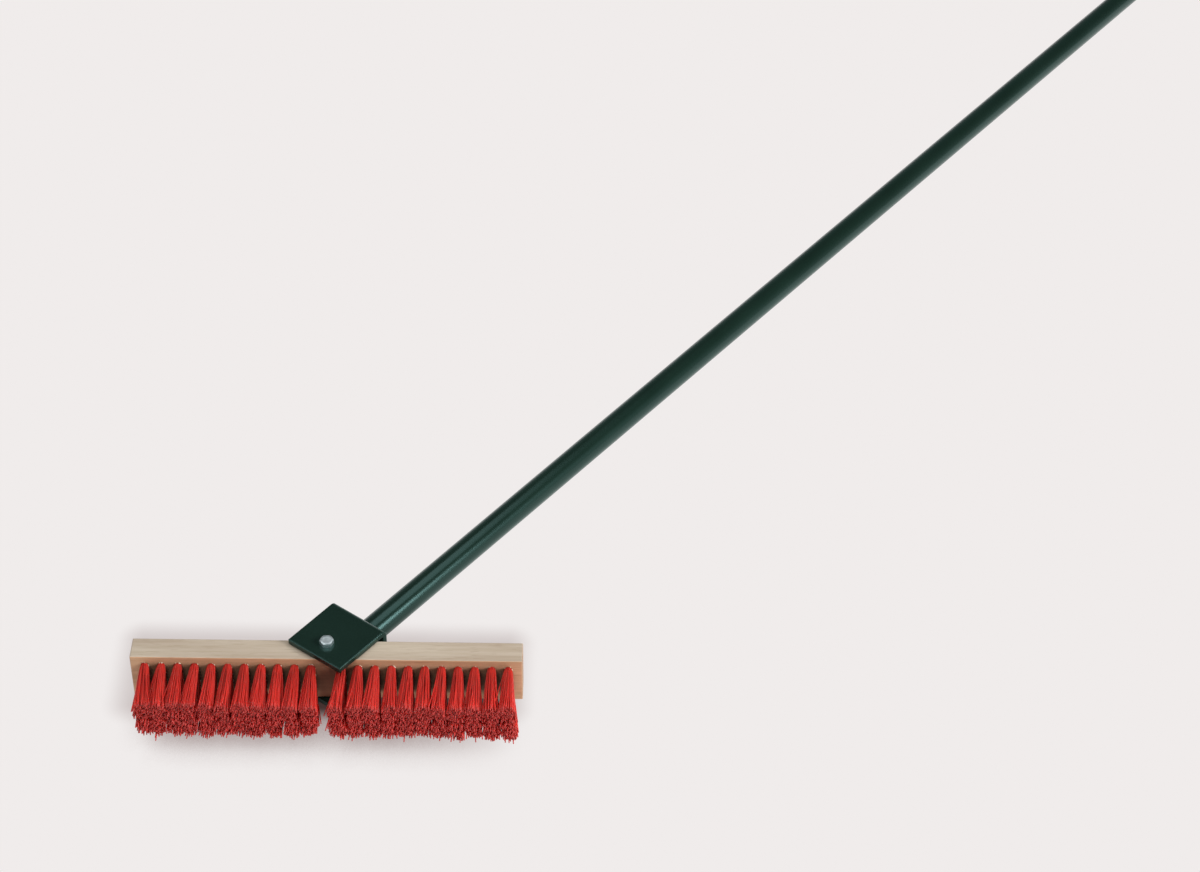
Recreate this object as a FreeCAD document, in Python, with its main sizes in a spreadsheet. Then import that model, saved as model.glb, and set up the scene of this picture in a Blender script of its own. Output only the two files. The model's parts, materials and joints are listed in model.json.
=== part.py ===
import FreeCAD, Part
import os
import Sketcher

# Push broom with a swivelling head, lying on its side.
# +Z is up, X runs along the wooden block and -Y is the way the tufts point.
# The head pieces are drawn about the head point: the middle of the block's
# brush face. The handle pieces are drawn about the pivot point, with local
# +X running up the handle, and are then turned by the handle's rest angle.

DIMENSIONS = {
    # wooden block
    "block_length": 400,
    "block_width": 55,
    "block_height": 27,
    "block_edge": 1,
    # tufts, their holes and anchors
    "tuft_pitch": 17,
    "tuft_first": 15.5,
    "tufts_per_side": 11,
    "row_pitch": 10.4,
    "row_count": 4,
    "hole_diameter": 8,
    "hole_depth": 14,
    "root_diameter": 7.9,
    "tuft_length": 60,
    "tip_length": 13.6,
    "tip_width": 10,
    "anchor_span": 8.8,
    "anchor_depth": 3,
    "anchor_thickness": 0.5,
    "anchor_seat": 1.5,
    # fork, bent from flat bar
    "bar_thickness": 6,
    "bar_width": 70,
    "cheek_gap": 0.4,
    "cheek_tail": 20,
    "fork_reach": 52.5,
    "bend_inner": 1,
    "fork_edge": 0.6,
    "fork_hole": 8.4,
    # handle
    "handle_angle": 53,
    "tube_length": 1700,
    "tube_diameter": 28,
    "tube_wall": 1.2,
    "foot_relief": 0.3,
    "foot_length": 6,
    "weld_leg": 4,
    "weld_crown": 0.65,
    "cap_height": 7,
    "cap_plug": 30,
    "cap_wall": 2.5,
    "cap_round": 4,
    # pivot bolt, washer and lock nut
    "bolt_rise": 16.5,
    "bolt_diameter": 8,
    "bolt_length": 80,
    "bolt_hole": 8.1,
    "bolt_tip_chamfer": 1,
    "hex_size": 13,
    "hex_turn": 6,
    "head_height": 5.3,
    "hex_bevel": 0.5,
    "hex_bevel_angle": 30,
    "washer_diameter": 16,
    "washer_thickness": 1.6,
    "nut_height": 6.5,
    "collar_height": 1.5,
    "collar_diameter": 12,
    "nut_bore": 8.1,
    "insert_height": 2.5,
    "insert_diameter": 10.4,
    "insert_bore": 7.9,
}

SIDES = {"left": -1, "right": 1}
TOLERANCE = 1e-6
FINDING = 1e-3

# Distances that several pieces share, as expressions of the sheet's cells.
INNER_GAP = "(dims.block_width + 2 * dims.cheek_gap)"
OUTER_GAP = "(dims.block_width + 2 * dims.cheek_gap + 2 * dims.bar_thickness)"
BOLT_END = "(dims.bolt_length - " + OUTER_GAP + " / 2)"
REACH = "(dims.fork_reach + dims.tube_length + dims.cap_height)"
FAR_X = "(" + REACH + " * cos(dims.handle_angle) + dims.tube_diameter / 2 * sin(dims.handle_angle))"
FAR_Y = "(" + REACH + " * sin(dims.handle_angle) + dims.tube_diameter / 2 * cos(dims.handle_angle))"

# The origin is under the middle of the whole broom, on the floor.
HEAD_X = "((dims.block_length / 2 - " + FAR_X + ") / 2)"
HEAD_Y = "((dims.tuft_length - dims.bolt_rise - " + FAR_Y + ") / 2)"
HEAD_Z = BOLT_END
PIVOT_Y = "(" + HEAD_Y + " + dims.bolt_rise)"

document = FreeCAD.newDocument("push_broom")


def make_sheet():
    """Put the driving dimensions in a sheet, one aliased cell each."""
    sheet = document.addObject("Spreadsheet::Sheet", "dims")
    for row, (alias, number) in enumerate(DIMENSIONS.items(), 1):
        sheet.set("A%d" % row, alias)
        sheet.set("B%d" % row, str(number))
        sheet.setAlias("B%d" % row, alias)
    document.recompute()
    return sheet


sheet = make_sheet()
nodes = []


# Helpers for bodies, sketches and features

def new_body(name):
    """Start a piece; its label becomes the name of its file."""
    body = document.addObject("PartDesign::Body", name)
    body.Label = name
    nodes.append(body)
    return body


def origin_item(body, role):
    return next(item for item in body.Origin.OriginFeatures if item.Role == role)


def new_sketch(body, name, plane, offset=None):
    """Attach a sketch to one of the body's own origin planes."""
    sketch = body.newObject("Sketcher::SketchObject", name)
    sketch.AttachmentSupport = (origin_item(body, plane), [""])
    sketch.MapMode = "FlatFace"
    if offset:
        sketch.setExpression("AttachmentOffset.Base.z", offset)
    document.recompute()
    return sketch


def bind(sketch, kind, where, expression):
    """Add a dimensional constraint whose value is an expression."""
    number = float(sketch.evalExpression(expression))
    index = sketch.addConstraint(Sketcher.Constraint(kind, *where, number))
    sketch.setExpression("Constraints[%d]" % index, expression)


def add_circle(sketch, diameter):
    """A circle about the sketch's origin."""
    radius = float(sketch.evalExpression(diameter)) / 2
    geometry = Part.Circle(FreeCAD.Vector(0, 0, 0), FreeCAD.Vector(0, 0, 1), radius)
    index = sketch.addGeometry(geometry, False)
    sketch.addConstraint(Sketcher.Constraint("Coincident", index, 3, -1, 1))
    bind(sketch, "Radius", (index,), diameter + " / 2")


def add_outline(sketch, points):
    """A closed outline through points, each a pair of expressions."""
    numbers = [[float(sketch.evalExpression(item)) for item in point] for point in points]
    places = [FreeCAD.Vector(x, y, 0) for x, y in numbers]
    first = sketch.GeometryCount
    for index, start in enumerate(places):
        end = places[(index + 1) % len(places)]
        sketch.addGeometry(Part.LineSegment(start, end), False)
    for index in range(len(places)):
        following = first + (index + 1) % len(places)
        sketch.addConstraint(Sketcher.Constraint("Coincident", first + index, 2, following, 1))
    for index, (x, y) in enumerate(points):
        bind(sketch, "DistanceX", (-1, 1, first + index, 1), x)
        bind(sketch, "DistanceY", (-1, 1, first + index, 1), y)


def add_rectangle(sketch, x_low, x_high, y_low, y_high):
    add_outline(sketch, [(x_low, y_low), (x_high, y_low), (x_high, y_high), (x_low, y_high)])


def add_hexagon(sketch):
    """A hexagon about the sketch's origin, its first corner turned a little from the X axis."""
    corner = "dims.hex_size / sqrt(3)"
    turns = ["(dims.hex_turn + %d)" % turn for turn in range(0, 360, 60)]
    add_outline(sketch, [(corner + " * cos" + turn, corner + " * sin" + turn) for turn in turns])


def add_oval(sketch, length, width):
    """An ellipse about the sketch's origin with its long axis on X."""
    half_length = float(sketch.evalExpression(length)) / 2
    half_width = float(sketch.evalExpression(width)) / 2
    ellipse = Part.Ellipse(FreeCAD.Vector(half_length, 0, 0), FreeCAD.Vector(0, half_width, 0),
                           FreeCAD.Vector(0, 0, 0))
    index = sketch.addGeometry(ellipse, False)
    sketch.exposeInternalGeometry(index)
    major, minor = index + 1, index + 2
    sketch.addConstraint(Sketcher.Constraint("Coincident", index, 3, -1, 1))
    sketch.addConstraint(Sketcher.Constraint("Horizontal", major))
    bind(sketch, "Distance", (major,), length)
    bind(sketch, "Distance", (minor,), width)


def pad(body, sketch, length, name, reverse=False, middle=False):
    feature = body.newObject("PartDesign::Pad", name)
    feature.Profile = sketch
    feature.setExpression("Length", length)
    feature.Reversed = reverse
    feature.Midplane = middle
    document.recompute()
    return feature


def pocket(body, sketch, name, length=None, reverse=False):
    """Cut a sketch to a depth, or right through both ways, and prove that it cuts."""
    before = body.Shape.Volume
    feature = body.newObject("PartDesign::Pocket", name)
    feature.Profile = sketch
    if length:
        feature.setExpression("Length", length)
        feature.Reversed = reverse
    else:
        feature.Type = "ThroughAll"
        feature.Midplane = True
    document.recompute()
    if feature.Shape.Volume > before - TOLERANCE:
        raise RuntimeError(name + " cuts nothing")
    return feature


def revolve(body, sketch, axis, name):
    feature = body.newObject("PartDesign::Revolution", name)
    feature.Profile = sketch
    feature.ReferenceAxis = (origin_item(body, axis), [""])
    feature.Angle = 360
    document.recompute()
    return feature


def edges_where(feature, test):
    """Names of the feature's edges whose bounding box passes a test."""
    return ["Edge%d" % number for number, edge in enumerate(feature.Shape.Edges, 1) if test(edge.BoundBox)]


def dress(body, kind, base, size, name, edges=None):
    """Fillet or chamfer the named edges of the base, or all of them."""
    feature = body.newObject("PartDesign::" + kind, name)
    feature.Base = (base, edges or [""])
    feature.UseAllEdges = edges is None
    feature.setExpression("Radius" if kind == "Fillet" else "Size", size)
    document.recompute()
    return feature


def repeat(body, features, axis, pitch, count, name, reverse=False):
    """A row of copies along an origin axis; returns the pattern as the tip."""
    pattern = body.newObject("PartDesign::LinearPattern", name)
    pattern.Originals = features
    pattern.Direction = (origin_item(body, axis), [""])
    pattern.Reversed = reverse
    pattern.setExpression("Length", pitch + " * (" + count + " - 1)")
    pattern.setExpression("Occurrences", count)
    body.Tip = pattern
    document.recompute()
    return pattern


def place(piece, x, y, z, angle="0"):
    """Bind a piece's placement: a shift, and a turn about Z in degrees."""
    shift = "create(<<vector>>; %s; %s; %s)" % (x, y, z)
    turn = "create(<<rotation>>; create(<<vector>>; 0; 0; 1); %s)" % angle
    piece.setExpression("Placement", "create(<<placement>>; %s; %s)" % (shift, turn))
    document.recompute()


def place_on_head(piece, x="0", z="0"):
    place(piece, HEAD_X + " + " + x, HEAD_Y, HEAD_Z + " + " + z)


def place_on_handle(piece):
    place(piece, HEAD_X, PIVOT_Y, HEAD_Z, "dims.handle_angle")


def place_on_pivot(piece, z="0"):
    place(piece, HEAD_X, PIVOT_Y, HEAD_Z + " + " + z)


def row_height(row):
    """Height of a tuft row above the middle of the block's width; row 0 is the highest."""
    return "((dims.row_count - 1) / 2 - %d) * dims.row_pitch" % row


# The wooden block

def make_block():
    body = new_body("brush_block")
    body_sketch = new_sketch(body, "block_outline", "XZ_Plane")
    half_length = "dims.block_length / 2"
    half_width = "dims.block_width / 2"
    add_rectangle(body_sketch, "-" + half_length, half_length, "-" + half_width, half_width)
    block = pad(body, body_sketch, "dims.block_height", "block", reverse=True)
    dress(body, "Fillet", block, "dims.block_edge", "eased_edges")

    cross_sketch = new_sketch(body, "cross_hole_circle", "XY_Plane")
    radius = float(cross_sketch.evalExpression("dims.bolt_hole")) / 2
    centre = FreeCAD.Vector(0, float(cross_sketch.evalExpression("dims.bolt_rise")), 0)
    cross_sketch.addGeometry(Part.Circle(centre, FreeCAD.Vector(0, 0, 1), radius), False)
    cross_sketch.addConstraint(Sketcher.Constraint("PointOnObject", 0, 3, -2))
    bind(cross_sketch, "DistanceY", (-1, 1, 0, 3), "dims.bolt_rise")
    bind(cross_sketch, "Radius", (0,), "dims.bolt_hole / 2")
    pocket(body, cross_sketch, "cross_hole")

    for side, sign in SIDES.items():
        for row in range(DIMENSIONS["row_count"]):
            name = "%s_row_%d" % (side, row + 1)
            sketch = new_sketch(body, "tuft_hole_circle_" + name, "XZ_Plane")
            add_circle(sketch, "dims.hole_diameter")
            sketch.setExpression("AttachmentOffset.Base.x", "%d * dims.tuft_first" % sign)
            sketch.setExpression("AttachmentOffset.Base.y", row_height(row))
            document.recompute()
            hole = pocket(body, sketch, "tuft_hole_" + name, length="dims.hole_depth")
            repeat(body, [hole], "X_Axis", "dims.tuft_pitch", "dims.tufts_per_side",
                   "tuft_holes_" + name, reverse=sign < 0)
    place_on_head(body)


# Tufts and the flat anchors that hold them

ANCHOR_LOW = "(dims.hole_depth - dims.anchor_seat - dims.anchor_depth)"
ANCHOR_HIGH = "(dims.hole_depth - dims.anchor_seat)"


def make_tufts(side, sign, row):
    """One row of tufts on one side: round roots that widen to oval tips."""
    body = new_body("tufts_%s_row_%d" % (side, row + 1))
    root_sketch = new_sketch(body, "root_circle", "XZ_Plane")
    add_circle(root_sketch, "dims.root_diameter")
    root = pad(body, root_sketch, "dims.hole_depth", "root", reverse=True)

    tip_sketch = new_sketch(body, "tip_oval", "XZ_Plane", offset="dims.tuft_length")
    add_oval(tip_sketch, "dims.tip_length", "dims.tip_width")
    flare = body.newObject("PartDesign::AdditiveLoft", "flare")
    flare.Profile = root_sketch
    flare.Sections = [tip_sketch]
    document.recompute()

    slot_sketch = new_sketch(body, "anchor_slot_outline", "YZ_Plane")
    half_slot = "dims.anchor_thickness / 2"
    add_rectangle(slot_sketch, ANCHOR_LOW, ANCHOR_HIGH, "-" + half_slot, half_slot)
    slot = pocket(body, slot_sketch, "anchor_slot")
    repeat(body, [root, flare, slot], "X_Axis", "dims.tuft_pitch", "dims.tufts_per_side",
           "row", reverse=sign < 0)
    place_on_head(body, "%d * dims.tuft_first" % sign, row_height(row))


def make_anchors(side, sign, row):
    """One row of flat anchors, each a little wider than its hole so that it bites."""
    body = new_body("anchors_%s_row_%d" % (side, row + 1))
    sketch = new_sketch(body, "anchor_outline", "XY_Plane")
    half_span = "dims.anchor_span / 2"
    add_rectangle(sketch, "-" + half_span, half_span, ANCHOR_LOW, ANCHOR_HIGH)
    anchor = pad(body, sketch, "dims.anchor_thickness", "anchor", middle=True)
    repeat(body, [anchor], "X_Axis", "dims.tuft_pitch", "dims.tufts_per_side", "row", reverse=sign < 0)
    place_on_head(body, "%d * dims.tuft_first" % sign, row_height(row))


# The fork, the tube welded to it and the plug in the tube's end

def make_fork():
    """Flat bar bent to a U, drawn from the pivot with its back up the handle."""
    body = new_body("fork")
    outer_sketch = new_sketch(body, "outer_outline", "XZ_Plane")
    half_outer = OUTER_GAP + " / 2"
    add_rectangle(outer_sketch, "-dims.cheek_tail", "dims.fork_reach", "-" + half_outer, half_outer)
    outer = pad(body, outer_sketch, "dims.bar_width", "outer", middle=True)
    reach = float(sheet.evalExpression("dims.fork_reach"))
    outer_corners = edges_where(
        outer, lambda box: box.YLength > 1 and box.XLength < TOLERANCE and abs(box.XMin - reach) < FINDING)
    dress(body, "Fillet", outer, "dims.bend_inner + dims.bar_thickness", "outer_bends", outer_corners)

    inner_sketch = new_sketch(body, "inner_outline", "XZ_Plane")
    half_inner = INNER_GAP + " / 2"
    inner_reach = "(dims.fork_reach - dims.bar_thickness)"
    open_end = "-(dims.cheek_tail + 1)"
    add_rectangle(inner_sketch, open_end, inner_reach, "-" + half_inner, half_inner)
    inner = pocket(body, inner_sketch, "inner")
    back = float(sheet.evalExpression(inner_reach))
    inner_corners = edges_where(
        inner, lambda box: box.YLength > 1 and box.XLength < TOLERANCE and abs(box.XMin - back) < FINDING)
    bends = dress(body, "Fillet", inner, "dims.bend_inner", "inner_bends", inner_corners)

    dress(body, "Fillet", bends, "dims.fork_edge", "eased_edges")
    hole_sketch = new_sketch(body, "hole_circle", "XY_Plane")
    add_circle(hole_sketch, "dims.fork_hole")
    pocket(body, hole_sketch, "holes")
    place_on_handle(body)


FOOT = "dims.fork_reach"
TUBE_RADIUS = "dims.tube_diameter / 2"
FOOT_RADIUS = "(dims.tube_diameter / 2 - dims.foot_relief)"
TUBE_BORE = "(dims.tube_diameter / 2 - dims.tube_wall)"
TUBE_END = "(dims.fork_reach + dims.tube_length)"


def make_tube():
    """A straight tube, its foot ground down a little where it is welded."""
    body = new_body("handle_tube")
    sketch = new_sketch(body, "wall_section", "XY_Plane")
    add_outline(sketch, [
        (FOOT, TUBE_BORE),
        (FOOT, FOOT_RADIUS),
        (FOOT + " + dims.foot_length", FOOT_RADIUS),
        (FOOT + " + dims.foot_length", TUBE_RADIUS),
        (TUBE_END, TUBE_RADIUS),
        (TUBE_END, TUBE_BORE),
    ])
    revolve(body, sketch, "X_Axis", "tube")
    place_on_handle(body)


def make_weld():
    """A fillet weld all round the foot of the tube, its face slightly domed."""
    body = new_body("fork_weld")
    sketch = new_sketch(body, "bead_section", "XY_Plane")
    crown = " + dims.weld_crown * dims.weld_leg"
    add_outline(sketch, [
        (FOOT, FOOT_RADIUS),
        (FOOT, FOOT_RADIUS + " + dims.weld_leg"),
        (FOOT + crown, FOOT_RADIUS + crown),
        (FOOT + " + dims.weld_leg", FOOT_RADIUS),
    ])
    revolve(body, sketch, "X_Axis", "bead")
    place_on_handle(body)


def make_cap():
    """Hollow plug pushed into the tube, with a domed head as wide as the tube."""
    body = new_body("handle_cap")
    sketch = new_sketch(body, "plug_section", "XY_Plane")
    top = TUBE_END + " + dims.cap_height"
    plug_end = TUBE_END + " - dims.cap_plug"
    hollow = "(" + TUBE_BORE + " - dims.cap_wall)"
    add_outline(sketch, [
        (plug_end, TUBE_BORE),
        (TUBE_END, TUBE_BORE),
        (TUBE_END, TUBE_RADIUS),
        (top, TUBE_RADIUS),
        (top, "0"),
        (top + " - dims.cap_wall", "0"),
        (top + " - dims.cap_wall", hollow),
        (plug_end, hollow),
    ])
    plug = revolve(body, sketch, "X_Axis", "plug")
    top_x = float(sheet.evalExpression(top))
    rim = edges_where(plug, lambda box: abs(box.XMin - top_x) < FINDING and box.YLength > 1)
    dress(body, "Fillet", plug, "dims.cap_round", "rounded_rim", rim)
    place_on_handle(body)


# The pivot: bolt, washer and lock nut

HEAD_SEAT = OUTER_GAP + " / 2"
NUT_SEAT = "(" + OUTER_GAP + " / 2 + dims.washer_thickness)"


def nut_foot(extra):
    """Depth below the pivot of the nut's foot, plus an extra distance."""
    return "(" + NUT_SEAT + " + dims.nut_height + " + extra + ")"


def bevel_hexagon(body, base, height, name):
    """Turn the upper corners of a hexagon that ends at a height back to a cone of 30 degrees."""
    sketch = new_sketch(body, name + "_section", "XZ_Plane")
    flat = "(dims.hex_size / 2 - dims.hex_bevel)"
    clear = "(dims.hex_size / sqrt(3) + 1)"
    drop = "((" + clear + " - " + flat + ") * tan(dims.hex_bevel_angle))"
    add_outline(sketch, [
        (flat, height),
        (clear, height),
        (clear, height + " - " + drop),
    ])
    groove = body.newObject("PartDesign::Groove", name)
    groove.Profile = sketch
    groove.ReferenceAxis = (origin_item(body, "Z_Axis"), [""])
    groove.Angle = 360
    document.recompute()
    if groove.Shape.Volume > base.Shape.Volume - TOLERANCE:
        raise RuntimeError(name + " cuts nothing")


def make_bolt():
    """The head sits on the upper cheek and the thread leaves below the nut."""
    body = new_body("pivot_bolt")
    head_sketch = new_sketch(body, "head_hexagon", "XY_Plane", offset=HEAD_SEAT)
    add_hexagon(head_sketch)
    head = pad(body, head_sketch, "dims.head_height", "head")
    top = "(" + HEAD_SEAT + " + dims.head_height)"
    bevel_hexagon(body, head, top, "head_bevel")

    shank_sketch = new_sketch(body, "shank_circle", "XY_Plane", offset=HEAD_SEAT)
    add_circle(shank_sketch, "dims.bolt_diameter")
    shank = pad(body, shank_sketch, "dims.bolt_length", "shank", reverse=True)
    lowest = shank.Shape.BoundBox.ZMin
    tip = edges_where(shank, lambda box: abs(box.ZMax - lowest) < FINDING)
    dress(body, "Chamfer", shank, "dims.bolt_tip_chamfer", "tip_chamfer", tip)
    place_on_pivot(body)


def make_washer():
    body = new_body("bolt_washer")
    sketch = new_sketch(body, "washer_rings", "XY_Plane", offset="-" + HEAD_SEAT)
    add_circle(sketch, "dims.washer_diameter")
    add_circle(sketch, "dims.fork_hole")
    pad(body, sketch, "dims.washer_thickness", "washer", reverse=True)
    place_on_pivot(body)


def make_nut():
    """Hexagon with a round collar that holds the nylon ring."""
    body = new_body("lock_nut")
    hex_sketch = new_sketch(body, "nut_hexagon", "XY_Plane", offset="-" + NUT_SEAT)
    add_hexagon(hex_sketch)
    nut = pad(body, hex_sketch, "dims.nut_height", "nut", reverse=True)
    bevel_hexagon(body, nut, "-" + NUT_SEAT, "nut_bevel")

    foot = "(" + NUT_SEAT + " + dims.nut_height)"
    collar_sketch = new_sketch(body, "collar_circle", "XY_Plane", offset="-" + foot)
    add_circle(collar_sketch, "dims.collar_diameter")
    pad(body, collar_sketch, "dims.collar_height", "collar", reverse=True)

    bore_sketch = new_sketch(body, "bore_circle", "XY_Plane")
    add_circle(bore_sketch, "dims.nut_bore")
    pocket(body, bore_sketch, "bore")
    seat_sketch = new_sketch(body, "seat_circle", "XY_Plane", offset="-" + nut_foot("dims.collar_height"))
    add_circle(seat_sketch, "dims.insert_diameter")
    pocket(body, seat_sketch, "insert_seat", length="dims.insert_height", reverse=True)
    place_on_pivot(body)


def make_insert():
    """Nylon ring, its bore a little smaller than the bolt."""
    body = new_body("nut_insert")
    sketch = new_sketch(body, "insert_rings", "XY_Plane", offset="-" + nut_foot("dims.collar_height"))
    add_circle(sketch, "dims.insert_diameter")
    add_circle(sketch, "dims.insert_bore")
    pad(body, sketch, "dims.insert_height", "insert")
    place_on_pivot(body)


def check_document():
    """Stop if any object failed or any piece has no sound shape."""
    for item in document.Objects:
        if "Invalid" in item.State or "Error" in item.State:
            raise RuntimeError(item.Label + " failed: " + str(item.State))
    for piece in nodes:
        if piece.Shape.isNull() or not piece.Shape.isValid():
            raise RuntimeError(piece.Label + " has no valid shape")


def write_parts():
    os.makedirs("parts", exist_ok=True)
    for piece in nodes:
        piece.Shape.exportStep("parts/" + piece.Label + ".step")


make_block()
for side, sign in SIDES.items():
    for row in range(DIMENSIONS["row_count"]):
        make_tufts(side, sign, row)
        make_anchors(side, sign, row)
make_fork()
make_tube()
make_weld()
make_cap()
make_bolt()
make_washer()
make_nut()
make_insert()

document.recompute()
check_document()
write_parts()

for piece in nodes:
    print(piece.Label, len(piece.Shape.Solids), round(piece.Shape.Volume, 1))
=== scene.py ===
import json
import math

import bmesh
import bpy
import numpy as np
from mathutils import Matrix, Quaternion, Vector


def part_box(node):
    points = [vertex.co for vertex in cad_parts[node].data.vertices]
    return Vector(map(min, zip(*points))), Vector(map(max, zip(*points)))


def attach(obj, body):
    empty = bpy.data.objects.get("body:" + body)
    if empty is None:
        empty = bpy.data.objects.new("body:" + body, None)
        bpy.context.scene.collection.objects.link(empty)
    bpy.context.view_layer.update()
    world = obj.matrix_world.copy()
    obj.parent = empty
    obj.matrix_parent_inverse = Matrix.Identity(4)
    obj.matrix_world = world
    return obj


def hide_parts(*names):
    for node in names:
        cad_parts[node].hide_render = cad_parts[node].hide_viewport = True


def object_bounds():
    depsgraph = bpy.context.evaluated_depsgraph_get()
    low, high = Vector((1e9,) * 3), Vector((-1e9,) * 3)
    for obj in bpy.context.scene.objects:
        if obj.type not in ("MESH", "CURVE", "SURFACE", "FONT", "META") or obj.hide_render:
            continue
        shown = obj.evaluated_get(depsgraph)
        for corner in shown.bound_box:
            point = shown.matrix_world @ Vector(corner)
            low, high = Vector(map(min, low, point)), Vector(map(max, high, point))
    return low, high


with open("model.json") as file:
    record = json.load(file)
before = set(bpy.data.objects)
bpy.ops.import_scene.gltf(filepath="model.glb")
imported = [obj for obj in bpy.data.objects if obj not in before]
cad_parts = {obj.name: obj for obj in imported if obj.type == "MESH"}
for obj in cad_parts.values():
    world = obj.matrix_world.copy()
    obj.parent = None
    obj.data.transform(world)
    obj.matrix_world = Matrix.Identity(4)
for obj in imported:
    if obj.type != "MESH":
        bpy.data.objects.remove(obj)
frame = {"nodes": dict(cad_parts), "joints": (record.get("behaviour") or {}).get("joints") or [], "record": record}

CAD_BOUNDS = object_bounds()
SEED = 20
MM = 0.001

# Places read from the frame. The head point is the middle of the block's
# brush face; the tufts point along -Y from it.
BLOCK_LOW, BLOCK_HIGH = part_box("brush_block")
HEAD = Vector(((BLOCK_LOW.x + BLOCK_HIGH.x) / 2, BLOCK_LOW.y, (BLOCK_LOW.z + BLOCK_HIGH.z) / 2))
SWIVEL = frame["joints"][0]
PIVOT = Vector(SWIVEL["pos_m"])
MOUNTS = {mount["name"]: mount for mount in frame["record"]["mounts"]}
HANDLE_WAY = Vector(MOUNTS["handle_grip"]["axis"]).normalized()
TUBE_RADIUS = MOUNTS["handle_grip"]["dims"]["r_mm"] * MM
FLOOR_Z = CAD_BOUNDS[0][2]

# Sizes shared with the solid model.
FORK_REACH = 52.5 * MM
TUBE_LENGTH = 1700 * MM
TUBE_WALL = 1.2 * MM
FOOT_RELIEF = 0.3 * MM
FOOT_LENGTH = 6 * MM
WELD_LEG = 4 * MM
HEAD_HEIGHT = 5.3 * MM
HEX_SIZE = 13 * MM
HEX_TURN = 6
BOLT_RADIUS = 4 * MM
THREAD_LENGTH = 22 * MM
THREAD_PITCH = 1.25 * MM
THREAD_DEPTH = 0.61 * MM
HOLE_RADIUS = 4 * MM


# Small node helpers

def new_material(name):
    """A node material with its Principled shader; returns the material, its node tree and the shader."""
    material = bpy.data.materials.new(name)
    material.use_nodes = True
    tree = material.node_tree
    return material, tree, tree.nodes["Principled BSDF"]


def add_node(tree, kind, settings=None, **inputs):
    """Add a node, set its properties, and set or link its inputs by name."""
    node = tree.nodes.new(kind)
    for key, value in (settings or {}).items():
        setattr(node, key, value)
    for key, value in inputs.items():
        socket = node.inputs[key.replace("_", " ")] if isinstance(key, str) else node.inputs[key]
        if isinstance(value, bpy.types.NodeSocket):
            tree.links.new(value, socket)
        else:
            socket.default_value = value
    return node


def ramp(tree, factor, stops, interpolation="LINEAR"):
    """A colour ramp through (position, colour) stops; returns its colour socket."""
    node = tree.nodes.new("ShaderNodeValToRGB")
    node.color_ramp.interpolation = interpolation
    elements = node.color_ramp.elements
    while len(elements) < len(stops):
        elements.new(0.5)
    for element, (position, colour) in zip(elements, stops):
        element.position = position
        element.color = colour if len(colour) == 4 else (*colour, 1)
    tree.links.new(factor, node.inputs["Fac"])
    return node.outputs["Color"]


def mix_colours(tree, factor, first, second, blend="MIX"):
    """Blend two colours, each a value or a socket; returns the colour socket."""
    node = tree.nodes.new("ShaderNodeMix")
    node.data_type = "RGBA"
    node.blend_type = blend
    sockets = {"factor": node.inputs[0], "first": node.inputs[6], "second": node.inputs[7]}
    for key, value in (("factor", factor), ("first", first), ("second", second)):
        if isinstance(value, bpy.types.NodeSocket):
            tree.links.new(value, sockets[key])
        elif key == "factor":
            sockets[key].default_value = value
        else:
            sockets[key].default_value = value if len(value) == 4 else (*value, 1)
    return node.outputs[2]


def math_node(tree, operation, first, second=0.0, clamp=False):
    """One sum on two values or sockets; returns the value socket."""
    node = tree.nodes.new("ShaderNodeMath")
    node.operation = operation
    node.use_clamp = clamp
    for socket, value in zip(node.inputs, (first, second)):
        if isinstance(value, bpy.types.NodeSocket):
            tree.links.new(value, socket)
        else:
            socket.default_value = value
    return node.outputs[0]


def stretched(tree, scale, rotation=(0, 0, 0), offset=(0, 0, 0)):
    """Object coordinates, turned and scaled."""
    coordinates = tree.nodes.new("ShaderNodeTexCoord")
    mapping = tree.nodes.new("ShaderNodeMapping")
    mapping.inputs["Scale"].default_value = scale
    mapping.inputs["Rotation"].default_value = rotation
    mapping.inputs["Location"].default_value = offset
    tree.links.new(coordinates.outputs["Object"], mapping.inputs["Vector"])
    return mapping.outputs["Vector"]


def noise(tree, vector, scale, detail=2.0, roughness=0.5, distortion=0.0):
    """Noise between 0 and 1 over a vector."""
    node = tree.nodes.new("ShaderNodeTexNoise")
    tree.links.new(vector, node.inputs["Vector"])
    node.inputs["Scale"].default_value = scale
    node.inputs["Detail"].default_value = detail
    node.inputs["Roughness"].default_value = roughness
    node.inputs["Distortion"].default_value = distortion
    return node.outputs["Fac"]


def bump(tree, shader, height, distance, strength=1.0):
    """Roughen a shader by a height, its depth in metres."""
    node = tree.nodes.new("ShaderNodeBump")
    node.inputs["Distance"].default_value = distance
    node.inputs["Strength"].default_value = strength
    tree.links.new(height, node.inputs["Height"])
    tree.links.new(node.outputs["Normal"], shader.inputs["Normal"])


def fade(tree, value, start, end, height):
    """A smooth fall from a height at the start to 0 at the end."""
    node = add_node(tree, "ShaderNodeMapRange", {"interpolation_type": "SMOOTHSTEP"}, Value=value)
    for name, number in (("From Min", start), ("From Max", end), ("To Min", height), ("To Max", 0.0)):
        node.inputs[name].default_value = number
    return node.outputs["Result"]


def distance_outside(tree, place, middle, half):
    """How far a place lies outside a box, given by its middle and its half sizes."""
    steps = (("SUBTRACT", middle), ("ABSOLUTE", None), ("SUBTRACT", half), ("MAXIMUM", (0, 0, 0)),
             ("LENGTH", None))
    for operation, other in steps:
        node = add_node(tree, "ShaderNodeVectorMath", {"operation": operation})
        tree.links.new(place, node.inputs[0])
        if other is not None:
            node.inputs[1].default_value = other
        place = node.outputs["Value" if operation == "LENGTH" else "Vector"]
    return place


# Materials

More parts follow.
